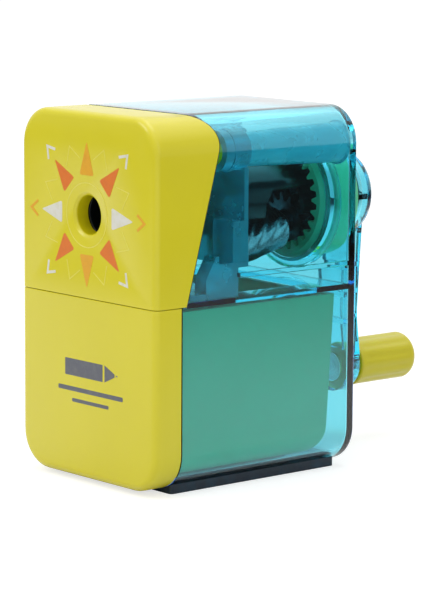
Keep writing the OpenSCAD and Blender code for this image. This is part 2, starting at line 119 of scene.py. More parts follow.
class Solid:
    """A closed mesh in millimetres, which other solids are joined to or cut from."""

    def __init__(self, bm: bmesh.types.BMesh) -> None:
        """Takes over a bmesh.

        Args:
            bm: The closed shape in millimetres. It is freed here.
        """
        mesh = bpy.data.meshes.new("solid")
        bm.to_mesh(mesh)
        bm.free()
        self.obj = bpy.data.objects.new("solid", mesh)
        bpy.context.scene.collection.objects.link(self.obj)

    def _combine(self, tool: "Solid", how: Join) -> "Solid":
        """Runs one exact boolean and uses the tool up.

        Args:
            tool: The other solid.
            how: Whether the tool is added, cut away, or kept where both are.

        Returns:
            This solid, changed.
        """
        modifier = self.obj.modifiers.new(how.name, "BOOLEAN")
        modifier.operation = how.value
        modifier.solver = "EXACT"
        modifier.object = tool.obj
        graph = bpy.context.evaluated_depsgraph_get()
        mesh = bpy.data.meshes.new_from_object(self.obj.evaluated_get(graph))
        self.obj.modifiers.clear()
        self.obj.data = mesh
        bpy.data.objects.remove(tool.obj)
        return self

    def add(self, *tools: "Solid") -> "Solid":
        """Joins solids to this one."""
        for tool in tools:
            self._combine(tool, Join.ADD)
        return self

    def cut(self, *tools: "Solid") -> "Solid":
        """Cuts solids from this one."""
        for tool in tools:
            self._combine(tool, Join.CUT)
        return self

    def keep(self, tool: "Solid") -> "Solid":
        """Keeps only what lies inside the tool too."""
        return self._combine(tool, Join.KEEP)

    def moved(self, matrix: Matrix) -> "Solid":
        """Moves or turns the shape."""
        self.obj.data.transform(matrix)
        return self

    def done(self, name: str, body: Body, finish: "Finish", slot: Slot, stands_for: Sequence[str] = (),
             edge: float = 0.15, edge_segments: int = 2) -> bpy.types.Object:
        """Turns the shape into a finished piece of the object.

        Args:
            name: The piece's name.
            body: The body that it rides on.
            finish: Its finish.
            slot: The record's slot that the finish belongs to. It is not used.
            stands_for: The model's nodes that it replaces.
            edge: Width of the small round on sharp edges, in millimetres, or 0 for none.
            edge_segments: Steps across that round.

        Returns:
            The finished object.
        """
        bm = bmesh.new()
        bm.from_mesh(self.obj.data)
        bmesh.ops.remove_doubles(bm, verts=bm.verts, dist=0.002)
        bmesh.ops.dissolve_limit(bm, angle_limit=math.radians(0.4), verts=bm.verts, edges=bm.edges)
        bmesh.ops.recalc_face_normals(bm, faces=bm.faces)
        bmesh.ops.scale(bm, vec=(MM, MM, MM), verts=bm.verts)
        mesh = bpy.data.meshes.new(name)
        bm.to_mesh(mesh)
        bm.free()
        bpy.data.objects.remove(self.obj)
        piece = bpy.data.objects.new(name, mesh)
        bpy.context.scene.collection.objects.link(piece)
        mesh.shade_smooth()
        mesh.set_sharp_from_angle(angle=SHARP_ANGLE)
        mesh.materials.append(material(finish))
        if edge:
            round_edges(piece, edge, edge_segments)
        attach(piece, body.value)
        if stands_for:
            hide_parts(*stands_for)
        LOG.info("%s: %d faces on %s, %s", name, len(mesh.polygons), body.value, finish.name)
        return piece


def round_edges(piece: bpy.types.Object, width: float, segments: int = 2) -> None:
    """Rounds a piece's sharp edges with a live Bevel, as a mould or a tumbling drum leaves them.

    Args:
        piece: The finished piece.
        width: Width of the round, in millimetres.
        segments: Steps across it.
    """
    bevel = piece.modifiers.new("edge_round", "BEVEL")
    bevel.width = width * MM
    bevel.segments = segments
    bevel.limit_method = "ANGLE"
    bevel.angle_limit = SHARP_ANGLE
    bevel.use_clamp_overlap = True
    bevel.harden_normals = True
    bevel.miter_outer = "MITER_ARC"


def corner_offset(before: Vector, at: Vector, after: Vector, radius: float) -> float:
    """How far from a corner its arc begins.

    Args:
        before: The outline's point before the corner.
        at: The corner.
        after: The outline's point after the corner.
        radius: The arc's radius.

    Returns:
        The distance along either side, in millimetres.
    """
    half = (before - at).angle(after - at) / 2
    return radius / math.tan(half)


def flat_outline(corners: Sequence[Corner]) -> bmesh.types.BMesh:
    """Draws an outline as one flat face and rounds its corners.

    Args:
        corners: Points (u, v) or (u, v, radius), in millimetres.

    Returns:
        A bmesh with the one face, in its own plane.
    """
    bm = bmesh.new()
    points = [Vector((c[0], c[1], 0.0)) for c in corners]
    verts = [bm.verts.new(p) for p in points]
    bm.faces.new(verts)
    count = len(corners)
    for i, corner in enumerate(corners):
        if len(corner) > 2 and corner[2] > 0:
            offset = corner_offset(points[i - 1], points[i], points[(i + 1) % count], corner[2])
            bmesh.ops.bevel(bm, geom=[verts[i]], offset=offset, offset_type="OFFSET", segments=ARC_STEPS,
                            profile=0.5, affect="VERTICES", material=-1)
    return bm


def slab(axis: Axis, start: float, end: float, corners: Sequence[Corner],
         start_round: float = 0.0, end_round: float = 0.0) -> Solid:
    """Extrudes an outline along an axis.

    Args:
        axis: The direction. X takes points (y, z), Y takes (x, z) and Z takes (x, y).
        start: Where it begins, in millimetres.
        end: Where it ends.
        corners: The outline, as flat_outline takes it.
        start_round: Radius of the round around the first end's edge, or 0.
        end_round: Radius of the round around the last end's edge, or 0.

    Returns:
        The solid.
    """
    bm = flat_outline(corners)
    first = list(bm.faces)
    grown = bmesh.ops.extrude_face_region(bm, geom=first, use_keep_orig=True)["geom"]
    top = [g for g in grown if isinstance(g, bmesh.types.BMVert)]
    bmesh.ops.translate(bm, vec=(0, 0, end - start), verts=top)
    bmesh.ops.recalc_face_normals(bm, faces=bm.faces)
    for level, radius in ((0.0, start_round), (end - start, end_round)):
        if radius:
            rim = [e for e in bm.edges if all(abs(v.co.z - level) < 1e-5 for v in e.verts)]
            bmesh.ops.bevel(bm, geom=rim, offset=radius, offset_type="OFFSET", segments=5,
                            profile=0.5, affect="EDGES", material=-1, clamp_overlap=False)
    bmesh.ops.translate(bm, vec=(0, 0, start), verts=bm.verts)
    bmesh.ops.transform(bm, matrix=AXIS_MATRIX[axis], verts=bm.verts)
    bmesh.ops.recalc_face_normals(bm, faces=bm.faces)
    return Solid(bm)


def box(x: Sequence[float], y: Sequence[float], z: Sequence[float]) -> Solid:
    """A plain block from the lowest to the highest x, y and z, for joining to or cutting from another."""
    return slab(Axis.Y, y[0], y[1], rectangle(x[0], x[1], z[0], z[1]))


def rectangle(u0: float, u1: float, v0: float, v1: float, radius: float = 0.0) -> list[Corner]:
    """The four corners of a rectangle.

    Args:
        u0: Lowest first coordinate.
        u1: Highest first coordinate.
        v0: Lowest second coordinate.
        v1: Highest second coordinate.
        radius: Radius of its corners.

    Returns:
        The outline.
    """
    return [(u0, v0, radius), (u1, v0, radius), (u1, v1, radius), (u0, v1, radius)]


def turning(profile: Sequence[Corner], x: float = 0.0, z: float = 0.0, steps: int = TURN_STEPS,
            shape: Optional[Callable[[Vector], Vector]] = None) -> Solid:
    """Turns a closed profile around an axis along Y.

    Args:
        profile: Points (radius, y) or (radius, y, corner radius), in millimetres.
        x: The axis's x.
        z: The axis's z.
        steps: Facets around.
        shape: Moves each point afterwards, for what isn't quite round.

    Returns:
        The solid.
    """
    bm = flat_outline(profile)
    on_axis = [e for e in bm.edges if all(abs(v.co.x) < 1e-6 for v in e.verts)]
    bmesh.ops.delete(bm, geom=list(bm.faces), context="FACES_ONLY")
    bmesh.ops.delete(bm, geom=on_axis, context="EDGES")
    bmesh.ops.spin(bm, geom=bm.verts[:] + bm.edges[:], cent=(0, 0, 0), axis=(0, 1, 0),
                   angle=2 * math.pi, steps=steps, use_merge=True)
    bmesh.ops.remove_doubles(bm, verts=bm.verts, dist=1e-4)
    if shape:
        for vert in bm.verts:
            vert.co = shape(vert.co)
    bmesh.ops.translate(bm, vec=(x, 0, z), verts=bm.verts)
    bmesh.ops.recalc_face_normals(bm, faces=bm.faces)
    return Solid(bm)


def rod(y0: float, y1: float, radius: float, x: float = 0.0, z: float = 0.0, end: float = 0.0) -> Solid:
    """A round bar along Y, with its ends rounded by the radius end."""
    return turning([(0, y0), (radius, y0, end), (radius, y1, end), (0, y1)], x, z)


def tube(y0: float, y1: float, radius: float, bore: float, x: float = 0.0, z: float = 0.0) -> Solid:
    """A round tube along Y."""
    return turning([(bore, y0), (radius, y0), (radius, y1), (bore, y1)], x, z)


def softened(node: str, name: str, body: Body, finish: "Finish", slot: Slot, edge: float) -> bpy.types.Object:
    """Stands for a node whose shape is right with a merged copy that has rounded edges.

    Args:
        node: The model's node.
        name: The new piece's name.
        body: The body that it rides on.
        finish: Its finish.
        slot: The record's slot. It is not used.
        edge: Width of the round, in millimetres.

    Returns:
        The finished piece.
    """
    bm = bmesh.new()
    bm.from_mesh(frame["nodes"][node].data)
    bmesh.ops.scale(bm, vec=(1 / MM, 1 / MM, 1 / MM), verts=bm.verts)
    bmesh.ops.remove_doubles(bm, verts=bm.verts, dist=0.004)
    bmesh.ops.recalc_face_normals(bm, faces=bm.faces)
    return Solid(bm).done(name, body, finish, slot, [node], edge)


def node_box(node: str) -> tuple[Vector, Vector]:
    """A node's lowest and highest corners, in millimetres."""
    low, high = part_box(node)
    return low / MM, high / MM


def joint_place(name: str) -> Vector:
    """Where a joint's axis passes, in millimetres."""
    joint = next(j for j in frame["joints"] if j["name"] == name)
    return Vector(joint["pos_m"]) / MM


def joint_axis(name: str) -> Vector:
    """A joint's direction."""
    joint = next(j for j in frame["joints"] if j["name"] == name)
    return Vector(joint["axis"]).normalized()


# ---------------------------------------------------------------- finishes

Value = Union[float, Sequence[float], bpy.types.NodeSocket]


def linear(colour: str) -> tuple[float, float, float, float]:
    """Turns an sRGB hex colour such as #DCD228 to linear red, green, blue and alpha."""
    channels = [int(colour[i:i + 2], 16) / 255 for i in (1, 3, 5)]
    turned = [c / 12.92 if c <= 0.04045 else ((c + 0.055) / 1.055) ** 2.4 for c in channels]
    return (turned[0], turned[1], turned[2], 1.0)


def add_node(tree: bpy.types.NodeTree, kind: str, inputs: Optional[dict] = None, **settings) -> bpy.types.Node:
    """Adds a node with its settings and links.

    Args:
        tree: The node tree.
        kind: The node's type name.
        inputs: What goes in each input, by name or number: a value, or a socket to link.
        **settings: The node's own properties.

    Returns:
        The new node.
    """
    node = tree.nodes.new(kind)
    for key, value in settings.items():
        setattr(node, key, value)
    for key, value in (inputs or {}).items():
        if isinstance(value, bpy.types.NodeSocket):
            tree.links.new(value, node.inputs[key])
        else:
            node.inputs[key].default_value = value
    return node


def maths(tree: bpy.types.NodeTree, operation: str, first: Value, second: Value) -> bpy.types.NodeSocket:
    """One sum of two values or sockets, such as ADD or MULTIPLY."""
    return add_node(tree, "ShaderNodeMath", {0: first, 1: second}, operation=operation).outputs["Value"]


class Finish:
    """What every finish has: a name, and a way to fill a material's node tree."""

    name: str

    def build(self, tree: bpy.types.NodeTree, out: bpy.types.Node) -> None:
        """Fills the tree. Args: tree is the material's nodes, out its output."""
        raise NotImplementedError


def material(finish: Finish) -> bpy.types.Material:
    """The Blender material of a finish, made once."""
    found = bpy.data.materials.get(finish.name)
    if found:
        return found
    made = bpy.data.materials.new(finish.name)
    made.use_nodes = True
    made.node_tree.nodes.clear()
    out = made.node_tree.nodes.new("ShaderNodeOutputMaterial")
    finish.build(made.node_tree, out)
    return made


def grain(tree: bpy.types.NodeTree, size: float, detail: float = 2.0,
          vector: Optional[bpy.types.NodeSocket] = None) -> bpy.types.NodeSocket:
    """A noise pattern on Object coordinates.

    Args:
        tree: The node tree.
        size: Size of its blotches, in millimetres.
        detail: Octaves of finer noise.
        vector: Coordinates to use in place of the plain Object ones.

    Returns:
        The noise's factor, around 0.5.
    """
    place = vector or add_node(tree, "ShaderNodeTexCoord").outputs["Object"]
    noise = add_node(tree, "ShaderNodeTexNoise", {"Vector": place, "Scale": 1 / (size * MM), "Detail": detail})
    return noise.outputs["Fac"]


def spread(tree: bpy.types.NodeTree, factor: bpy.types.NodeSocket, low: float, high: float) -> bpy.types.NodeSocket:
    """Spreads a noise factor from 0.3-0.7 over low to high."""
    return add_node(tree, "ShaderNodeMapRange", {
        "Value": factor, "From Min": 0.3, "From Max": 0.7, "To Min": low, "To Max": high,
    }).outputs["Result"]


def bump(tree: bpy.types.NodeTree, height: bpy.types.NodeSocket, depth: float,
         below: Optional[bpy.types.NodeSocket] = None) -> bpy.types.NodeSocket:
    """Turns a height pattern to a normal.

    Args:
        tree: The node tree.
        height: The pattern.
        depth: The relief's depth, in millimetres.
        below: The normal that it adds to.

    Returns:
        The normal.
    """
    inputs = {"Height": height, "Distance": depth * MM, "Strength": 1.0}
    if below:
        inputs["Normal"] = below
    return add_node(tree, "ShaderNodeBump", inputs).outputs["Normal"]


@dataclass(frozen=True)
class MouldedPlastic(Finish):
    """Opaque injection-moulded plastic: an even colour with slow flow tones, a gloss and a faint orange peel."""

    name: str
    colour: str
    flow_colour: str
    roughness: float = 0.28
    flow_size: float = 22.0
    peel_size: float = 1.3
    peel_depth: float = 0.0016
    grain_size: float = 0.35
    grain_depth: float = 0.0004
    ior: float = 1.53

    def build(self, tree: bpy.types.NodeTree, out: bpy.types.Node) -> None:
        """Fills the tree with the plastic's shader."""
        tone = self._tone(tree)
        rough = spread(tree, grain(tree, 7.0, 4.0), self.roughness - 0.015, self.roughness + 0.02)
        peel = bump(tree, grain(tree, self.peel_size, 1.0), self.peel_depth)
        normal = bump(tree, grain(tree, self.grain_size, 2.0), self.grain_depth, peel)
        shader = add_node(tree, "ShaderNodeBsdfPrincipled", {
            "Base Color": tone, "Roughness": rough, "Normal": normal, "IOR": self.ior,
        })
        tree.links.new(shader.outputs["BSDF"], out.inputs["Surface"])

    def _tone(self, tree: bpy.types.NodeTree) -> bpy.types.NodeSocket:
        """The base colour with its slow flow tones."""
        ramp = add_node(tree, "ShaderNodeValToRGB", {"Fac": grain(tree, self.flow_size, 3.0)})
        ramp.color_ramp.elements[0].position = 0.35
        ramp.color_ramp.elements[0].color = linear(self.colour)
        ramp.color_ramp.elements[1].position = 0.65
        ramp.color_ramp.elements[1].color = linear(self.flow_colour)
        return ramp.outputs["Color"]


@dataclass(frozen=True)
class ClearPlastic(Finish):
    """Tinted clear polystyrene: the tint deepens with the wall's thickness, and slow waves show the moulding."""

    name: str
    skin: str
    tint: str
    density: float
    roughness: float = 0.02
    clearness: float = 1.0
    wave_size: float = 11.0
    wave_depth: float = 0.008
    ior: float = 1.57

    def build(self, tree: bpy.types.NodeTree, out: bpy.types.Node) -> None:
        """Fills the tree with clear glass-like walls and an absorbing inside."""
        rough = spread(tree, grain(tree, 6.0, 3.0), self.roughness * 0.5, self.roughness * 1.5)
        shader = add_node(tree, "ShaderNodeBsdfPrincipled", {
            "Base Color": linear(self.skin), "Roughness": rough, "IOR": self.ior,
            "Transmission Weight": self.clearness,
            "Normal": bump(tree, grain(tree, self.wave_size, 1.0), self.wave_depth),
        })
        inside = add_node(tree, "ShaderNodeVolumeAbsorption", {
            "Color": linear(self.tint), "Density": self.density,
        })
        tree.links.new(shader.outputs["BSDF"], out.inputs["Surface"])
        tree.links.new(inside.outputs["Volume"], out.inputs["Volume"])


@dataclass(frozen=True)
class TurnedMetal(Finish):
    """Metal turned or ground around an axis along Y: fine rings that stretch the highlights."""

    name: str
    colour: str
    shade: str
    roughness: float
    axis_x: float = 0.0
    axis_z: float = 0.0
    mark_size: float = 0.18
    mark_depth: float = 0.003

    def build(self, tree: bpy.types.NodeTree, out: bpy.types.Node) -> None:
        """Fills the tree with the metal's shader."""
        place = add_node(tree, "ShaderNodeTexCoord").outputs["Object"]
        centred = add_node(tree, "ShaderNodeMapping", {
            "Vector": place, "Location": (-self.axis_x * MM, 0.0, -self.axis_z * MM),
        }).outputs["Vector"]
        split = add_node(tree, "ShaderNodeSeparateXYZ", {"Vector": centred})
        flat = add_node(tree, "ShaderNodeCombineXYZ", {"X": split.outputs["X"], "Y": split.outputs["Z"]})
        radius = add_node(tree, "ShaderNodeVectorMath", {0: flat.outputs["Vector"]}, operation="LENGTH")
        ring = add_node(tree, "ShaderNodeCombineXYZ", {"X": radius.outputs["Value"], "Y": split.outputs["Y"]})
        marks = grain(tree, self.mark_size, 3.0, ring.outputs["Vector"])
        ramp = add_node(tree, "ShaderNodeValToRGB", {"Fac": grain(tree, 2.5, 3.0)})
        ramp.color_ramp.elements[0].position = 0.35
        ramp.color_ramp.elements[0].color = linear(self.shade)
        ramp.color_ramp.elements[1].position = 0.62
        ramp.color_ramp.elements[1].color = linear(self.colour)
        shader = add_node(tree, "ShaderNodeBsdfPrincipled", {
            "Base Color": ramp.outputs["Color"], "Metallic": 1.0,
            "Roughness": spread(tree, marks, self.roughness * 0.75, self.roughness * 1.35),
            "Normal": bump(tree, marks, self.mark_depth),
        })
        tree.links.new(shader.outputs["BSDF"], out.inputs["Surface"])


@dataclass(frozen=True)
class SyntheticRubber(Finish):
    """Moulded rubber: matt, with a fine pebbled skin and pale dust in its hollows."""

    name: str
    colour: str
    dust_colour: str

    def build(self, tree: bpy.types.NodeTree, out: bpy.types.Node) -> None:
        """Fills the tree with the rubber's shader."""
        ramp = add_node(tree, "ShaderNodeValToRGB", {"Fac": grain(tree, 4.0, 6.0)})
        ramp.color_ramp.elements[0].position = 0.45
        ramp.color_ramp.elements[0].color = linear(self.colour)
        ramp.color_ramp.elements[1].position = 0.8
        ramp.color_ramp.elements[1].color = linear(self.dust_colour)
        pebble = grain(tree, 0.5, 3.0)
        shader = add_node(tree, "ShaderNodeBsdfPrincipled", {
            "Base Color": ramp.outputs["Color"], "IOR": 1.5,
            "Roughness": spread(tree, pebble, 0.45, 0.65),
            "Normal": bump(tree, pebble, 0.02),
        })
        tree.links.new(shader.outputs["BSDF"], out.inputs["Surface"])


@dataclass(frozen=True)
class ScreenInk(Finish):
    """Screen-printed ink: a thin even film, a little more matt than the plastic, with a fine mesh texture."""

    name: str
    colour: str
    thin_colour: str

    def build(self, tree: bpy.types.NodeTree, out: bpy.types.Node) -> None:
        """Fills the tree with the ink's shader."""
        ramp = add_node(tree, "ShaderNodeValToRGB", {"Fac": grain(tree, 1.2, 4.0)})
        ramp.color_ramp.elements[0].position = 0.3
        ramp.color_ramp.elements[0].color = linear(self.thin_colour)
        ramp.color_ramp.elements[1].position = 0.55
        ramp.color_ramp.elements[1].color = linear(self.colour)
        film = grain(tree, 0.4, 1.0)
        shader = add_node(tree, "ShaderNodeBsdfPrincipled", {
            "Base Color": ramp.outputs["Color"], "IOR": 1.5,
            "Roughness": spread(tree, film, 0.34, 0.46),
            "Normal": bump(tree, film, 0.0015),
        })
        tree.links.new(shader.outputs["BSDF"], out.inputs["Surface"])


# Tinted polystyrene, polished mould: clear blue on white, and almost navy along an edge.
CLEAR_BLUE = ClearPlastic("polystyrene_clear_blue", "#D1F8FD", "#39EFFA", 285.0)
# The same plastic with a matt skin on cored and ribbed parts: a cloudy teal that half hides what's behind.
FROSTED_BLUE = ClearPlastic("polystyrene_frosted_blue", "#74E6F4", "#61EAF8", 120.0, 0.3, 0.3,
                            wave_depth=0.002)
# A thinner matt skin on the frame's plate: darker, and the mechanism shows dimly through it.
MATT_BLUE = ClearPlastic("polystyrene_matt_blue", "#74DCEE", "#61EAF8", 160.0, 0.22, 0.6, wave_depth=0.002)
# ABS from a polished mould: warm yellow with a soft gloss.
YELLOW_ABS = MouldedPlastic("abs_yellow", "#DCD116", "#D9CE13", 0.24)
# The knob's ABS is a little more matt, from handling.
KNOB_ABS = MouldedPlastic("abs_yellow_knob", "#D2C60C", "#CCC008", 0.3)
# Polypropylene drawer bin: milky mint with a satin skin.
MINT_PP = MouldedPlastic("polypropylene_mint", "#3CC893", "#38C38D", 0.45, peel_depth=0.0008,
                         grain_depth=0.00005)
# The ring gear's acetal is a stronger green.
GREEN_POM = MouldedPlastic("acetal_green", "#54CE98", "#4EC690", 0.3)
BLACK_POM = MouldedPlastic("acetal_black", "#0C1114", "#11171A", 0.2)
NYLON = MouldedPlastic("nylon_natural", "#E4E3D8", "#DAD9CC", 0.42)
# Zinc plated or turned steel small parts.
BRIGHT_STEEL = TurnedMetal("steel_turned_bright", "#C4C7CA", "#A9ADB1", 0.28, axis_z=60.3)
PIN_STEEL = TurnedMetal("steel_turned_pin", "#C4C7CA", "#A9ADB1", 0.3, axis_z=19.0)
DARK_STEEL = TurnedMetal("steel_oiled_dark", "#5A6068", "#3E444B", 0.35, axis_z=60.3)
CUTTER_STEEL = TurnedMetal("steel_tool_ground", "#989EA4", "#878D93", 0.26, axis_z=55.0)
BRONZE = TurnedMetal("bronze_sintered", "#B08A54", "#8D6A3C", 0.4, axis_z=60.3)
RUBBER = SyntheticRubber("rubber_navy", "#031A2A", "#0A3347")
INK_AMBER = ScreenInk("ink_amber", "#E4A600", "#DFA006")
INK_ORANGE = ScreenInk("ink_orange", "#DF7206", "#D96E0C")
INK_PALE = ScreenInk("ink_pale_grey", "#DEDDD2", "#D6D4BE")
INK_LIGHT_YELLOW = ScreenInk("ink_light_yellow", "#E6DE5A", "#E0D748")
INK_SLATE = ScreenInk("ink_slate", "#575A64", "#63656A")


# ---------------------------------------------------------------- sizes shared by the parts

@dataclass(frozen=True)
class Envelope:
    """The body's outer block and its levels in millimetres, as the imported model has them."""

    half_width: float
    front: float
    rear: float
    low: float
    top: float
    hood_low: float
    drawer_top: float
    axis_z: float
    knob_z: float
    edge_radius: float = 8.4
    collar_proud: float = 2.5
    hood_seam_y: float = 8.6
    hood_slant: float = 14.8
    hood_corner_y: float = 11.9
    hood_corner_radius: float = 6.0

    @classmethod
    def read(cls) -> "Envelope":
        """Reads the levels from the nodes' boxes and the joints."""
        housing_low, housing_high = node_box("rear_housing")
        hood_low, _ = node_box("front_hood")
        _, drawer_high = node_box("drawer_front")
        return cls(housing_high.x, hood_low.y, housing_high.y - cls.collar_proud, housing_low.z,
                   housing_high.z, hood_low.z, drawer_high.z, joint_place("crank_turn").z,
                   joint_place("knob_spin").z)

    def section(self, inset: float = 0.0) -> list[Corner]:
        """The body's cross-section in x and z, drawn in by inset."""
        half = self.half_width - inset
        return rectangle(-half, half, self.low + inset, self.top - inset, self.edge_radius - inset)

    def hood_side(self, grow: float = 0.0) -> list[Corner]:
        """The hood's side view in y and z, with its slanted rear edge moved back by grow."""
        slant = math.radians(self.hood_slant)
        radius = self.hood_corner_radius + grow
        centre_y = self.front + self.hood_corner_y
        tip_y = centre_y + radius * (1 / math.cos(slant) + math.tan(slant))
        roof = self.top + grow
        return [(self.front - 1, self.hood_low - grow), (self.front + self.hood_seam_y + grow, self.hood_low - grow),
                (tip_y, roof, radius), (centre_y - 0.05, roof), (centre_y - 0.05, roof + 2),
                (self.front - 1, roof + 2)]


# ---------------------------------------------------------------- housing

@dataclass
class Housing:
    """The clear blue casing with its shelf, rails, screw posts and rear collar, and the pad under it."""

    env: Envelope
    wall: float = 1.6
    gap: float = 0.15
    lower_front_depth: float = 7.5
    rear_round: float = 0.9
    shelf_drop: float = 0.5
    shelf_thickness: float = 1.2
    chute_half_width: float = 16.6
    chute_y: tuple[float, float] = (-3.5, 21.0)
    rail_z: float = 46.8
    rail_thickness: float = 1.0
    rail_depth: float = 1.2
    rail_y0: float = -4.8
    post_x: float = 17.5
    post_z: float = 74.4
    post_y0: float = -1.38
    post_radius: tuple[float, float] = (3.7, 4.5)
    post_bore: float = 3.0
    post_seat_y: float = 2.2
    screw_hole: float = 1.45
    collar_radius: float = 16.5
    cup_bore: float = 14.25
    flange_bore: float = 15.1

    def shell(self) -> Solid:
        """The outer wall alone, open to the front."""
        env = self.env
        reach = env.half_width + 2
        outer = slab(Axis.Y, env.front, env.rear, env.section(), end_round=self.rear_round)
        inner = slab(Axis.Y, env.front - 1, env.rear - self.wall, env.section(self.wall), end_round=0.5)
        hood = slab(Axis.X, -reach, reach, env.hood_side(self.gap))
        lower = box((-reach, reach), (env.front - 1, env.front + self.lower_front_depth), (-1, env.hood_low + 0.01))
        return outer.cut(inner, hood, lower)

    def shelf(self) -> Solid:
        """The shelf between the cutter's chamber and the drawer, with the chute in it."""
        env = self.env
        half = env.half_width - self.wall + 0.1
        low = env.hood_low - self.shelf_drop
        plate = box((-half, half), (env.front + env.hood_seam_y + self.gap, env.rear - self.wall + 0.1),
                    (low, low + self.shelf_thickness))
        chute = slab(Axis.Z, low - 1, low + self.shelf_thickness + 1, rectangle(
            -self.chute_half_width, self.chute_half_width, self.chute_y[0], self.chute_y[1], 1.2))
        return plate.cut(chute)

    def rail(self, side: int) -> Solid:
        """The ledge along one side wall."""
        outer = self.env.half_width - self.wall + 0.1
        inner = outer - 0.1 - self.rail_depth
        x = sorted((side * inner, side * outer))
        return box(x, (self.rail_y0, self.env.rear - self.wall + 0.1), (self.rail_z, self.rail_z + self.rail_thickness))

    def post(self, side: int) -> Solid:
        """One screw post, with a fillet where it meets the rear wall."""
        front, rear = self.post_radius
        wall_y = self.env.rear - self.wall
        x, z = side * self.post_x, self.post_z
        post = turning([(0, self.post_y0), (front, self.post_y0), (rear, wall_y - 0.6), (rear + 0.5, wall_y + 0.03),
                        (0, wall_y + 0.03)], x, z)
        return post.cut(rod(self.post_seat_y, self.env.rear + 1, self.post_bore, x, z),
                        rod(self.post_y0 - 1, self.post_seat_y + 1, self.screw_hole, x, z))

    def collar(self) -> Solid:
        """The round collar behind the rear wall that holds the ring gear's cup."""
        return turning([(0, self.env.rear - self.wall / 2), (self.collar_radius, self.env.rear - self.wall / 2),
                        (self.collar_radius, self.env.rear + self.env.collar_proud, 0.6),
                        (0, self.env.rear + self.env.collar_proud)], z=self.env.axis_z)

    def casing(self) -> bpy.types.Object:
        """The whole casing."""
        env = self.env
        casing = self.shell().add(self.shelf(), self.rail(-1), self.rail(1), self.collar())
        for side in (-1, 1):
            casing.cut(rod(env.rear - 3, env.rear + 1, self.post_bore, side * self.post_x, self.post_z))
        casing.cut(rod(env.rear - self.wall - 1, env.rear + 4, self.cup_bore, z=env.axis_z),
                   rod(env.rear, env.rear + 4, self.flange_bore, z=env.axis_z))
        return casing.done("housing_shell", Body.HOUSING, CLEAR_BLUE, Slot.CLEAR_BLUE, ["rear_housing"], 0.18)

    def pad(self) -> bpy.types.Object:
        """The anti-slip pad: its top follows the casing, its underside has grooves across."""
        low, high = node_box("base_pad")
        pad = slab(Axis.Z, low.z, high.z, rectangle(low.x, high.x, low.y, high.y, 1.0))
        pad.cut(slab(Axis.Y, self.env.front, self.env.rear, self.env.section(-0.02)))
        pitch = 3.2
        count = int((high.y - low.y - pitch) / pitch)
        for i in range(count):
            y = low.y + pitch * (i + 1)
            pad.cut(box((low.x + 2, high.x - 2), (y - 0.35, y + 0.35), (low.z - 1, low.z + 0.35)))
        return pad.done("grip_pad", Body.HOUSING, RUBBER, Slot.RUBBER, ["base_pad"], 0.2)

    def build(self) -> None:
        """Builds the casing, its pad and its two screws."""
        self.casing()
        for side, name in ((-1, "left"), (1, "right")):
            self.post(side).done(f"screw_post_{name}", Body.HOUSING, FROSTED_BLUE, Slot.CLEAR_BLUE, edge=0.12)
        self.pad()
        softened("housing_screws", "casing_screws", Body.HOUSING, BRIGHT_STEEL, Slot.BRIGHT_STEEL, 0.1)


@dataclass
class Hood:
    """The yellow front hood with the pencil hole, its guide sleeve, the screw bosses and the printed sunburst."""

    env: Envelope
    wall: float = 1.8
    front_wall: float = 2.0
    front_round: float = 1.7
    floor_thickness: float = 1.2
    bore: float = 4.35
    flare: float = 5.0
    sleeve_radius: float = 6.15
    sleeve_y: float = -25.7
    boss_radius: float = 3.0
    boss_y: float = -8.6
    boss_hole: float = 1.22
    post_x: float = 17.5
    post_z: float = 74.4

    def shell(self) -> Solid:
        """The hollow hood with its slanted rear edge and its floor."""
        env = self.env
        outer = slab(Axis.Y, env.front, env.rear, env.section(), start_round=self.front_round)
        outer.keep(slab(Axis.X, -env.half_width - 2, env.half_width + 2, env.hood_side()))
        outer.cut(slab(Axis.Y, env.front + self.front_wall, env.rear, env.section(self.wall), start_round=0.6))
        floor = box((-env.half_width + 1, env.half_width - 1), (env.front + 1, env.front + env.hood_seam_y - 0.6),
                    (env.hood_low, env.hood_low + self.floor_thickness))
        return outer.add(floor)

    def build(self) -> None:
        """Builds the hood."""
        env = self.env
        hood = self.shell()
        hood.add(rod(env.front + 1, self.sleeve_y, self.sleeve_radius, z=env.axis_z))
        for side in (-1, 1):
            hood.add(rod(env.front + 1, self.boss_y, self.boss_radius, side * self.post_x, self.post_z))
            hood.cut(rod(self.boss_y - 7.2, self.boss_y + 4, self.boss_hole, side * self.post_x, self.post_z))
        depth = self.flare - self.bore
        hood.cut(turning([(0, env.front - 1), (self.flare + 0.25, env.front - 1), (self.flare + 0.25, env.front - 0.01),
                          (self.flare, env.front + 0.1, 0.2), (self.bore, env.front + depth, 0.6),
                          (self.bore, 0), (0, 0)], z=env.axis_z))
        hood.done("hood_shell", Body.HOUSING, YELLOW_ABS, Slot.YELLOW, ["front_hood"], 0.22, 3)


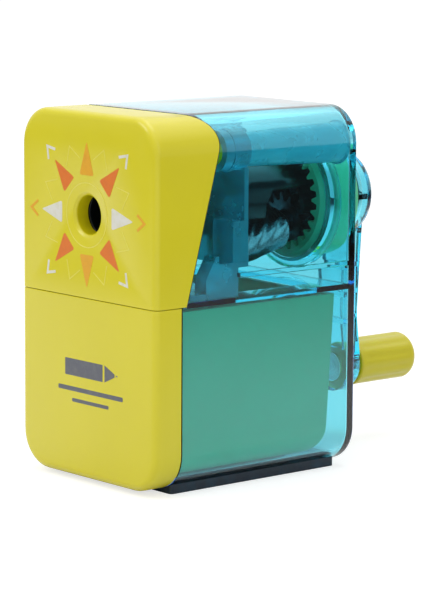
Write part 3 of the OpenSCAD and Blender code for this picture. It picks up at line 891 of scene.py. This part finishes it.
@dataclass
class Sunburst:
    """A plain printed sunburst around the pencil hole: eight rays, eight arrow heads and thin lines between."""

    env: Envelope
    film: float = 0.04
    rays: int = 8
    ray_start: float = 8.8
    ray_end: float = 16.2
    ray_half: float = 2.5
    arrow_tip: float = 20.6
    arrow_length: float = 3.4
    arrow_width: float = 0.62
    line_tip: float = 16.2
    line_length: float = 4.6
    line_width: float = 0.22
    ring_radius: float = 7.15
    ring_width: float = 0.22

    def _film(self, corners: Sequence[Corner], turn: float) -> Solid:
        """One printed patch, drawn pointing up from the hole's centre and turned around it.

        Args:
            corners: The outline in x and z from the hole's centre.
            turn: The turn, in degrees.

        Returns:
            The patch, standing a film's thickness proud of the hood.
        """
        front = self.env.front
        patch = slab(Axis.Y, front - self.film, front + self.film, corners)
        place = Matrix.Translation((0, 0, self.env.axis_z)) @ Matrix.Rotation(math.radians(turn), 4, "Y")
        return patch.moved(place)

    def ray(self) -> list[Corner]:
        """A ray's outline: a slim triangle with soft corners."""
        return [(-self.ray_half, self.ray_start, 0.45), (self.ray_half, self.ray_start, 0.45),
                (0, self.ray_end, 0.16)]

    def arrow(self, tip: float, length: float, width: float) -> list[Corner]:
        """An open arrow head's outline.

        Args:
            tip: The tip's distance from the hole's centre.
            length: Length of either arm.
            width: Width of the arms.

        Returns:
            The outline.
        """
        lean = math.radians(35)
        side, down = math.sin(lean), math.cos(lean)
        thick = width / side
        end_x, end_z = length * side, tip - length * down
        return [(0, tip), (end_x, end_z), (end_x - width * down, end_z - width * side), (0, tip - thick),
                (-end_x + width * down, end_z - width * side), (-end_x, end_z)]

    def build(self) -> None:
        """Prints the sunburst."""
        step = 360 / self.rays
        for i in range(self.rays):
            upright, level = i % 4 == 0, i % 4 == 2
            ray_ink = INK_AMBER if upright else INK_PALE if level else INK_ORANGE
            ray = self._film(self.ray(), i * step)
            ray.done(f"print_ray_{i}", Body.HOUSING, ray_ink, Slot.YELLOW, edge=0)
            if not upright:
                arrow = self._film(self.arrow(self.arrow_tip, self.arrow_length, self.arrow_width), i * step)
                arrow.done(f"print_arrow_{i}", Body.HOUSING, INK_AMBER if level else INK_PALE, Slot.YELLOW, edge=0)
            line = self._film(self.arrow(self.line_tip, self.line_length, self.line_width), (i + 0.5) * step)
            line.done(f"print_line_{i}", Body.HOUSING, INK_LIGHT_YELLOW, Slot.YELLOW, edge=0)
        front = self.env.front
        ring = tube(front - self.film, front + self.film, self.ring_radius + self.ring_width / 2,
                    self.ring_radius - self.ring_width / 2, z=self.env.axis_z)
        ring.done("print_ring", Body.HOUSING, INK_LIGHT_YELLOW, Slot.YELLOW, edge=0)


# ---------------------------------------------------------------- drawer

@dataclass
class Drawer:
    """The pull-out drawer: its yellow front, its mint bin, and a printed pencil sign."""

    env: Envelope
    depth: float = 7.3
    wall: float = 1.8
    front_wall: float = 2.0
    front_round: float = 1.7
    bin_wall: float = 1.3
    bin_radius: float = 6.0
    rear_radius: float = 7.5
    film: float = 0.04
    top_rise: float = 0.14

    def fascia(self) -> None:
        """The yellow front, hollow behind."""
        env = self.env
        front = slab(Axis.Y, env.front, env.front + self.depth, env.section(), start_round=self.front_round)
        front.cut(slab(Axis.Y, env.front + self.front_wall, env.rear, env.section(self.wall), start_round=0.6))
        front.cut(box((-env.half_width - 2, env.half_width + 2), (env.front - 1, env.rear),
                      (env.drawer_top + self.top_rise, env.top + 2)))
        front.done("drawer_fascia", Body.DRAWER, YELLOW_ABS, Slot.YELLOW, ["drawer_front"], 0.22, 3)

    def side(self, inset: float, low: Vector, high: Vector, rear_low: float) -> list[Corner]:
        """The bin's side view in y and z.

        Args:
            inset: How far it is drawn in, above 0 for the inside.
            low: The bin's lowest corner.
            high: The bin's highest corner.
            rear_low: Where the rear wall's foot is.

        Returns:
            The outline.
        """
        top = high.z + (2 if inset else 0)
        return [(low.y + inset, low.z + inset), (rear_low - inset, low.z + inset, self.rear_radius - inset),
                (high.y - inset, top), (low.y + inset, top)]

    def bin(self) -> None:
        """The bin behind the front, with a slanted rear wall, round lower corners and a rolled rim."""
        low, high = node_box("drawer_tray")
        half, rear_low = high.x, high.y - 2.5
        tall = high.z + 20
        outer = slab(Axis.X, -half, half, self.side(0, low, high, rear_low))
        outer.keep(slab(Axis.Y, low.y - 5, high.y + 5, rectangle(-half, half, low.z, tall, self.bin_radius)))
        wall = self.bin_wall
        inner = slab(Axis.X, -half + wall, half - wall, self.side(wall, low, high, rear_low))
        inner.keep(slab(Axis.Y, low.y - 5, high.y + 5, rectangle(
            -half + wall, half - wall, low.z + wall, tall, self.bin_radius - wall)))
        outer.cut(inner)
        outer.done("drawer_bin", Body.DRAWER, MINT_PP, Slot.GREEN, ["drawer_tray"], 0.25, 3)

    def sign(self) -> None:
        """A plain pencil pictogram over two bars, printed on the front."""
        front, x, z = self.env.front, 1.2, 22.6
        marks = {
            "pencil_body": [(-9.0, 1.3, 0.2), (4.4, 1.3), (4.4, 5.1), (-9.0, 5.1, 0.2)],
            "pencil_tip": [(5.1, 1.3), (8.6, 2.86), (8.6, 3.54), (5.1, 5.1)],
            "pencil_lead": [(9.1, 3.0), (10.0, 3.2, 0.1), (9.1, 3.4)],
            "bar_long": rectangle(-11.5, 11.5, -2.2, -1.2, 0.3),
            "bar_short": rectangle(-6.5, 6.5, -4.6, -3.8, 0.3),
        }
        for name, corners in marks.items():
            patch = slab(Axis.Y, front - self.film, front + self.film, corners)
            patch.moved(Matrix.Translation((x, 0, z)))
            patch.done(f"print_{name}", Body.DRAWER, INK_SLATE, Slot.YELLOW, edge=0)

    def build(self) -> None:
        """Builds the drawer."""
        self.fascia()
        self.bin()
        self.sign()


# ---------------------------------------------------------------- mechanism

@dataclass
class RingGearCup:
    """The green cup with the fixed inner teeth, pushed into the casing's collar, and its bronze bush."""

    env: Envelope
    teeth: int = 25
    module: float = 0.9
    phase: float = 2.2
    tooth_y: tuple[float, float] = (27.0, 33.0)
    cup_radius: float = 14.2
    flange_radius: float = 15.05
    flange_y: tuple[float, float] = (29.52, 31.2)
    floor_y: float = 36.4
    rear_y: float = 39.7
    bush_bore: float = 4.22

    def tooth_space(self) -> list[Corner]:
        """The outline that the teeth stand around, in x and z from the axis."""
        pitch_r = self.module * self.teeth / 2
        tip, root = pitch_r - 0.85, pitch_r + 0.95
        step = 2 * math.pi / self.teeth
        points = []
        for i in range(self.teeth):
            middle = math.radians(90 + self.phase) + (i + 0.5) * step
            for radius, half, soft in ((root, -0.94, 0.15), (tip, -0.26, 0.12), (tip, 0.26, 0.12), (root, 0.94, 0.15)):
                angle = -(middle + half / radius)
                points.append((radius * math.cos(angle), radius * math.sin(angle), soft))
        return points

    def build(self) -> None:
        """Builds the cup and softens its bush."""
        env = self.env
        root = self.module * self.teeth / 2 + 0.95
        y0, y1 = self.tooth_y
        cup = turning([
            (0, y0), (self.cup_radius - 0.95, y0), (self.cup_radius, y0 + 1.6), (self.cup_radius, self.flange_y[0]),
            (self.flange_radius, self.flange_y[0]), (self.flange_radius, self.flange_y[1], 0.3),
            (self.cup_radius, self.flange_y[1], 0.3), (self.cup_radius, self.rear_y, 1.0), (0, self.rear_y)],
            z=env.axis_z, steps=96)
        cup.cut(rod(y1, self.floor_y, root, z=env.axis_z), rod(self.floor_y - 1, self.rear_y + 1, self.bush_bore, z=env.axis_z))
        space = slab(Axis.Y, y0 - 1, y1 + 0.1, self.tooth_space())
        cup.cut(space.moved(Matrix.Translation((0, 0, env.axis_z))))
        cup.done("ring_gear_cup", Body.HOUSING, GREEN_POM, Slot.GREEN, ["ring_gear"], 0.1)
        softened("rear_bush", "crank_bearing", Body.HOUSING, BRONZE, Slot.BRONZE, 0.12)


@dataclass
class InnerFrame:
    """The clear blue frame behind the hood: a plate with ears and ribs, the pencil guide tube, legs and a foot."""

    env: Envelope

    def build(self) -> None:
        """Builds the frame and its front bush."""
        softened("inner_frame", "guide_frame", Body.HOUSING, MATT_BLUE, Slot.CLEAR_BLUE, 0.15)
        softened("guide_tube", "pencil_guide", Body.HOUSING, BLACK_POM, Slot.BLACK, 0.15)
        softened("front_bush", "guide_bearing", Body.HOUSING, NYLON, Slot.NYLON, 0.1)


@dataclass
class CutterHead:
    """The black carrier with the helical cutter on its pin, and the pinion that rolls in the ring gear."""

    env: Envelope
    edges: int = 10
    length: float = 15.9
    start: float = -18.7
    radius: float = 5.5
    bore: float = 1.55
    lead: float = 40.0
    gullet: float = 0.95
    chamfer: float = 2.8
    steps: int = 32

    def axis_matrix(self) -> Matrix:
        """Places a shape built along +Y from the origin on the cutter's tilted axis."""
        axis = joint_axis("cutter_spin")
        return Matrix.Translation(joint_place("cutter_spin")) @ Matrix.Rotation(math.atan2(axis.z, axis.y), 4, "X")

    def cutter(self) -> None:
        """The helical cutter: each edge is steep in front and falls away into a round gullet behind."""
        per_edge = 8
        count = self.edges * per_edge
        points = []
        for i in range(count):
            share = (i % per_edge) / per_edge
            radius = self.radius - self.gullet * math.sin(math.pi * share ** 0.55) ** 1.3
            angle = -2 * math.pi * i / count
            points.append((radius * math.cos(angle), radius * math.sin(angle)))
        bm = flat_outline(points)
        bmesh.ops.transform(bm, matrix=AXIS_MATRIX[Axis.Y], verts=bm.verts)
        bmesh.ops.translate(bm, vec=(0, self.start, 0), verts=bm.verts)
        turn = -2 * math.pi * self.length / self.lead
        bmesh.ops.spin(bm, geom=list(bm.edges), cent=(0, self.start, 0), axis=(0, 1, 0), angle=turn,
                       dvec=(0, self.length / self.steps, 0), steps=self.steps, use_merge=False)
        open_rim = [e for e in bm.edges if e.is_boundary]
        bmesh.ops.holes_fill(bm, edges=open_rim, sides=0)
        bmesh.ops.recalc_face_normals(bm, faces=bm.faces)
        end = self.start + self.length
        cutter = Solid(bm).keep(turning([
            (0, self.start - 1), (self.radius - 0.5, self.start - 0.001), (self.radius + 0.1, self.start + 0.6),
            (self.radius + 0.1, end - self.chamfer), (self.radius - self.chamfer, end + 0.001), (0, end + 1)]))
        cutter.cut(rod(self.start - 1, end + 1, self.bore))
        cutter.moved(self.axis_matrix())
        cutter.done("milling_cutter", Body.CUTTER, CUTTER_STEEL, Slot.CUTTER_STEEL, ["helical_cutter"], 0.05)

    def build(self) -> None:
        """Builds the cutter and softens the pieces around it."""
        self.cutter()
        softened("cutter_carrier", "carrier", Body.CRANK, BLACK_POM, Slot.BLACK, 0.12)
        softened("cutter_pinion", "planet_pinion", Body.CUTTER, DARK_STEEL, Slot.DARK_STEEL, 0.06)
        softened("cutter_pin", "planet_pin", Body.CRANK, BRIGHT_STEEL, Slot.BRIGHT_STEEL, 0.15)


# ---------------------------------------------------------------- crank

@dataclass
class Crank:
    """The crank: clear blue hub and arm, its cross pin, screw and washers, and the shaft that it turns."""

    env: Envelope
    hub_radius: float = 10.3
    hub_y0: float = 44.0
    rim_y: float = 45.6
    rear_y: float = 49.0
    shell: float = 1.4
    sleeve_radius: float = 4.6
    sleeve_y0: float = 40.9
    arm_y0: float = 45.8
    web_y: float = 47.6
    rim: float = 1.2
    end_radius: float = 5.7
    rib_z: tuple[float, ...] = (43.0, 36.6, 30.2)
    shaft_bore: float = 2.52
    shaft_end: float = 47.4
    pin_y: float = 44.3
    pin_radius: float = 0.6

    def hub(self) -> Solid:
        """The domed hub, hollow towards the casing, with a sleeve on the shaft."""
        z = self.env.axis_z
        hub = turning([(0, self.hub_y0), (self.hub_radius, self.hub_y0, 0.4), (self.hub_radius, self.rear_y, 3.2),
                       (0, self.rear_y)], z=z)
        hub.cut(tube(self.hub_y0 - 1, self.rear_y - 2.4, self.hub_radius - self.shell, self.sleeve_radius, z=z))
        return hub.add(rod(self.sleeve_y0, self.rear_y - 1, self.sleeve_radius, z=z))

    def outline(self, inset: float) -> list[Corner]:
        """The arm's outline in x and z, waisted between the hub and the knob's end, drawn in by inset."""
        top, low = self.env.axis_z, self.env.knob_z
        half = [(top, 4.2, 0), (56.5, 6.0, 6), (46, 5.2, 12), (31, 4.35, 20), (22, 5.5, 8)]
        end = self.end_radius - inset
        side = [(h - inset, z, r) for z, h, r in half]
        foot = [(end, low - end, end * 0.98)]
        right = side + foot
        return right + [(-x, z, r) for x, z, r in reversed(right)]

    def arm(self) -> None:
        """The hub and the arm as one moulding, with its channel, ribs and holes."""
        env = self.env
        arm = slab(Axis.Y, self.arm_y0, self.rear_y, self.outline(0), end_round=0.7)
        channel = slab(Axis.Y, self.arm_y0 - 1, self.web_y, self.outline(self.rim))
        channel.keep(box((-20, 20), (0, 60), (env.knob_z + self.end_radius - 1, env.axis_z - 5)))
        arm.cut(channel)
        arm.cut(tube(self.arm_y0 - 1, self.rear_y - 2.4, self.hub_radius - self.shell, self.sleeve_radius, z=env.axis_z))
        body = self.hub().add(arm)
        for z in self.rib_z:
            body.add(box((-4.0, 4.0), (self.arm_y0 + 0.1, self.web_y + 0.2), (z - self.rim / 2, z + self.rim / 2)))
        slot = self.pin_radius + 0.02
        body.cut(
            rod(self.sleeve_y0 - 1, self.shaft_end + 0.02, self.shaft_bore, z=env.axis_z),
            box((-self.hub_radius - 1, self.hub_radius + 1), (self.hub_y0 - 4, self.pin_y + slot),
                (env.axis_z - slot, env.axis_z + slot)),
            rod(self.shaft_end - 1, self.rear_y + 1, 1.3, z=env.axis_z),
            rod(self.rear_y - 0.9, self.rear_y + 1, 2.9, z=env.axis_z),
            rod(self.arm_y0 - 1, self.rear_y + 1, 2.02, z=env.knob_z),
            rod(self.arm_y0 - 1, self.arm_y0 + 1.3, 3.4, z=env.knob_z))
        body.done("crank_lever", Body.CRANK, CLEAR_BLUE, Slot.CLEAR_BLUE, ["crank_arm"], 0.15)

    def build(self) -> None:
        """Builds the crank and softens its metal pieces."""
        self.arm()
        softened("drive_pin", "cross_pin", Body.CRANK, DARK_STEEL, Slot.DARK_STEEL, 0.12)
        softened("crank_screw", "crank_cap_screw", Body.CRANK, BRIGHT_STEEL, Slot.BRIGHT_STEEL, 0.08)
        softened("drive_shaft", "shaft", Body.CRANK, BRIGHT_STEEL, Slot.BRIGHT_STEEL, 0.15)
        softened("crank_washer", "steel_washer", Body.CRANK, BRIGHT_STEEL, Slot.BRIGHT_STEEL, 0.08)
        softened("thrust_washer", "nylon_washer", Body.CRANK, NYLON, Slot.NYLON, 0.08)
        softened("knob_pin", "knob_rivet", Body.CRANK, PIN_STEEL, Slot.BRIGHT_STEEL, 0.12)


@dataclass
class Knob:
    """The yellow knob: a barrel with soft flutes lengthwise and a round end."""

    flutes: int = 12
    flute_depth: float = 0.2
    end_round: float = 2.6
    bore: float = 1.86

    def build(self) -> None:
        """Builds the knob."""
        low, high = node_box("knob")
        radius = (high.x - low.x) / 2
        middle = joint_place("knob_spin")

        def fluted(point: Vector) -> Vector:
            """Draws a point of the barrel in where a flute runs."""
            reach = math.hypot(point.x, point.z)
            if reach < radius - 0.9:
                return point
            along = min(point.y - low.y - 0.8, high.y - self.end_round * 0.7 - point.y)
            fade = max(0.0, min(1.0, along / 1.6))
            angle = math.atan2(point.z, point.x)
            wave = (0.5 - 0.5 * math.cos(self.flutes * angle)) ** 1.5
            shrink = 1 - self.flute_depth * fade * wave / radius
            return Vector((point.x * shrink, point.y, point.z * shrink))

        rings = [(radius, low.y + 0.6 + (high.y - low.y - 3.2) * i / 12) for i in range(13)]
        profile = [(self.bore, low.y), (radius, low.y, 0.6)] + rings[1:-1]
        profile += [(radius, high.y, self.end_round), (0, high.y), (0, high.y - 2.4), (2.4, high.y - 2.4),
                    (2.4, high.y - 5.6), (self.bore, high.y - 5.6)]
        knob = turning(profile, middle.x, middle.z, 144, fluted)
        knob.done("crank_knob", Body.KNOB, KNOB_ABS, Slot.YELLOW, ["knob"], 0)


# ---------------------------------------------------------------- studio

@dataclass
class Studio:
    """The pale floor, the white surround, the soft lamps and the camera."""

    azimuth: float = 49.167
    elevation: float = 8.566
    roll: float = 0.355
    distance: float = 638.33
    aim_right: float = 7.483
    aim_up: float = 39.212
    lens: float = 169.1
    floor_half: float = 3.0
    bright_reach: tuple[float, float] = (0.2, 0.6)
    paper_tone: float = 0.72
    seen_tone: float = 0.5
    room_tone: float = 0.03
    paper_glow: float = 0.68
    wall_glow: float = 0.33
    surround: float = 0.72
    backdrop: float = 0.34
    overhead: float = 1.3
    inside_fill: float = 0.3

    def camera(self) -> None:
        """The camera, level with the hood's corner and looking slightly down."""
        azimuth, elevation, roll = (math.radians(a) for a in (self.azimuth, self.elevation, self.roll))
        back = Vector((math.sin(azimuth) * math.cos(elevation), -math.cos(azimuth) * math.cos(elevation),
                       math.sin(elevation)))
        right = Vector((math.cos(azimuth), math.sin(azimuth), 0))
        up = back.cross(right).normalized()
        place = (right * self.aim_right + up * self.aim_up + back * self.distance) * MM
        turned_right = right * math.cos(roll) + up * math.sin(roll)
        turned_up = up * math.cos(roll) - right * math.sin(roll)
        data = bpy.data.cameras.new("camera")
        data.lens = self.lens
        data.sensor_width = 36.0
        data.clip_start, data.clip_end = 0.01, 20.0
        camera = bpy.data.objects.new("camera", data)
        camera.matrix_world = Matrix((
            (turned_right.x, turned_up.x, back.x, place.x),
            (turned_right.y, turned_up.y, back.y, place.y),
            (turned_right.z, turned_up.z, back.z, place.z),
            (0, 0, 0, 1)))
        bpy.context.scene.collection.objects.link(camera)
        bpy.context.scene.camera = camera

    def lamp(self, name: str, place: Sequence[float], size: float, power: float) -> None:
        """One square soft lamp aimed at the object.

        Args:
            name: The lamp's name.
            place: Where it stands, in metres.
            size: The length of its sides, in metres.
            power: Its power, in watts.
        """
        data = bpy.data.lights.new(name, "AREA")
        data.size = size
        data.energy = power
        lamp = bpy.data.objects.new(name, data)
        lamp.location = place
        aim = Vector((0, 0, 0.045)) - Vector(place)
        lamp.rotation_euler = aim.to_track_quat("-Z", "Y").to_euler()
        bpy.context.scene.collection.objects.link(lamp)

    def behind(self, tree: bpy.types.NodeTree, direction: bpy.types.NodeSocket) -> bpy.types.NodeSocket:
        """How far a direction points to the bright cards behind and before the object: 0 to the sides.

        Args:
            tree: The node tree.
            direction: A direction or a place around the object.

        Returns:
            The share.
        """
        azimuth = math.radians(self.azimuth)
        level = add_node(tree, "ShaderNodeVectorMath", {0: direction, 1: (1.0, 1.0, 0.0)}, operation="MULTIPLY")
        unit = add_node(tree, "ShaderNodeVectorMath", {0: level.outputs["Vector"]}, operation="NORMALIZE")
        along = add_node(tree, "ShaderNodeVectorMath", {
            0: unit.outputs["Vector"], 1: (-math.sin(azimuth), math.cos(azimuth), 0.0)}, operation="DOT_PRODUCT")
        return add_node(tree, "ShaderNodeMapRange", {
            "Value": maths(tree, "ABSOLUTE", along.outputs["Value"], 0.0),
            "From Min": 0.75, "From Max": 0.93}).outputs["Result"]

    def scattered(self, tree: bpy.types.NodeTree, rays: bpy.types.bpy_prop_collection) -> bpy.types.NodeSocket:
        """1 for light that isn't a plain single reflection, such as light from a matt surface, else 0."""
        once = add_node(tree, "ShaderNodeMath", {0: rays["Glossy Depth"], 1: 1.0, 2: 0.5}, operation="COMPARE")
        matt = maths(tree, "MINIMUM", rays["Diffuse Depth"], 1.0)
        return maths(tree, "MAXIMUM", matt, maths(tree, "SUBTRACT", 1.0, once.outputs["Value"]))

    def inside(self, tree: bpy.types.NodeTree, rays: bpy.types.bpy_prop_collection) -> bpy.types.NodeSocket:
        """1 for light that reaches a matt surface through a clear wall, else 0."""
        return maths(tree, "MULTIPLY", maths(tree, "MINIMUM", rays["Diffuse Depth"], 1.0),
                     maths(tree, "MINIMUM", rays["Transmission Depth"], 1.0))

    def floor(self) -> None:
        """The pale floor: a white card that reflects as a dark room away from the object and the backdrop."""
        bm = bmesh.new()
        bmesh.ops.create_grid(bm, x_segments=1, y_segments=1, size=self.floor_half)
        mesh = bpy.data.meshes.new("floor")
        bm.to_mesh(mesh)
        bm.free()
        floor = bpy.data.objects.new("floor", mesh)
        bpy.context.scene.collection.objects.link(floor)
        paper = bpy.data.materials.new("paper_white")
        paper.use_nodes = True
        tree = paper.node_tree
        tree.nodes.clear()
        place = add_node(tree, "ShaderNodeTexCoord").outputs["Object"]
        rays = add_node(tree, "ShaderNodeLightPath").outputs
        centred = add_node(tree, "ShaderNodeVectorMath", {0: place, 1: (0.12, 0.12, 0.0)}, operation="ADD")
        reach = add_node(tree, "ShaderNodeVectorMath", {0: centred.outputs["Vector"]}, operation="LENGTH")
        far = add_node(tree, "ShaderNodeMapRange", {
            "Value": reach.outputs["Value"], "From Min": self.bright_reach[0], "From Max": self.bright_reach[1]})
        aside = maths(tree, "SUBTRACT", 1.0, self.behind(tree, place))
        lit = self.scattered(tree, rays)
        seen = maths(tree, "MAXIMUM", rays["Is Camera Ray"], rays["Is Transmission Ray"])
        dark = maths(tree, "MULTIPLY", maths(tree, "MULTIPLY", far.outputs["Result"], aside),
                     maths(tree, "SUBTRACT", 1.0, lit))
        tone = add_node(tree, "ShaderNodeMapRange", {
            "Value": seen, "To Min": self.paper_tone, "To Max": self.seen_tone}).outputs["Result"]
        shade = add_node(tree, "ShaderNodeMapRange", {
            "Value": dark, "To Min": tone, "To Max": self.room_tone}).outputs["Result"]
        diffuse = add_node(tree, "ShaderNodeBsdfDiffuse", {
            "Color": add_node(tree, "ShaderNodeCombineXYZ", {0: shade, 1: shade, 2: shade}).outputs["Vector"]})
        shine = add_node(tree, "ShaderNodeMapRange", {
            "Value": rays["Is Camera Ray"], "To Min": self.wall_glow, "To Max": self.paper_glow}).outputs["Result"]
        glow = maths(tree, "MULTIPLY", maths(tree, "MULTIPLY", maths(tree, "SUBTRACT", 1.0, dark), seen), shine)
        fill = maths(tree, "MULTIPLY", self.inside(tree, rays), self.inside_fill)
        light = add_node(tree, "ShaderNodeEmission", {
            "Strength": maths(tree, "ADD", glow, fill)})
        both = add_node(tree, "ShaderNodeAddShader", {0: diffuse.outputs[0], 1: light.outputs[0]})
        add_node(tree, "ShaderNodeOutputMaterial", {"Surface": both.outputs[0]})
        mesh.materials.append(paper)

    def world(self) -> None:
        """The white surround, with a brighter backdrop that only reflections and clear walls show."""
        world = bpy.data.worlds.new("surround")
        world.use_nodes = True
        tree = world.node_tree
        rays = add_node(tree, "ShaderNodeLightPath").outputs
        direction = add_node(tree, "ShaderNodeTexCoord").outputs["Generated"]
        shown = maths(tree, "MINIMUM", rays["Glossy Depth"], 1.0)
        height = add_node(tree, "ShaderNodeSeparateXYZ", {"Vector": direction}).outputs["Z"]
        above = add_node(tree, "ShaderNodeMapRange", {
            "Value": height, "From Min": 0.5, "From Max": 0.8, "To Max": self.overhead}).outputs["Result"]
        extra = maths(tree, "ADD", maths(tree, "MULTIPLY", self.behind(tree, direction), self.backdrop), above)
        fill = maths(tree, "MULTIPLY", self.inside(tree, rays), self.inside_fill)
        extra = maths(tree, "ADD", maths(tree, "MULTIPLY", shown, extra), fill)
        plain = add_node(tree, "ShaderNodeMapRange", {
            "Value": rays["Is Camera Ray"], "To Min": self.surround, "To Max": 1.02}).outputs["Result"]
        tree.links.new(maths(tree, "ADD", extra, plain), tree.nodes["Background"].inputs["Strength"])
        tree.nodes["Background"].inputs["Color"].default_value = (1, 1, 1, 1)
        bpy.context.scene.world = world

    def build(self) -> None:
        """Sets the studio up."""
        self.camera()
        self.floor()
        self.world()
        self.lamp("key_lamp", (-0.35, -0.75, 0.75), 0.5, 2.6)
        self.lamp("side_lamp", (0.9, -0.1, 0.45), 0.5, 0.6)
        self.lamp("top_lamp", (0.0, 0.1, 1.1), 0.7, 3.0)
        bpy.context.scene.view_settings.view_transform = "Standard"


def main() -> None:
    """Builds every sub-assembly in order."""
    logging.basicConfig(level=logging.INFO, format="%(name)s %(message)s")
    Studio().build()
    env = Envelope.read()
    for part in (Housing(env), Hood(env), Sunburst(env), Drawer(env), RingGearCup(env), InnerFrame(env),
                 CutterHead(env), Crank(env), Knob()):
        part.build()


if __name__ == "__main__":
    main()
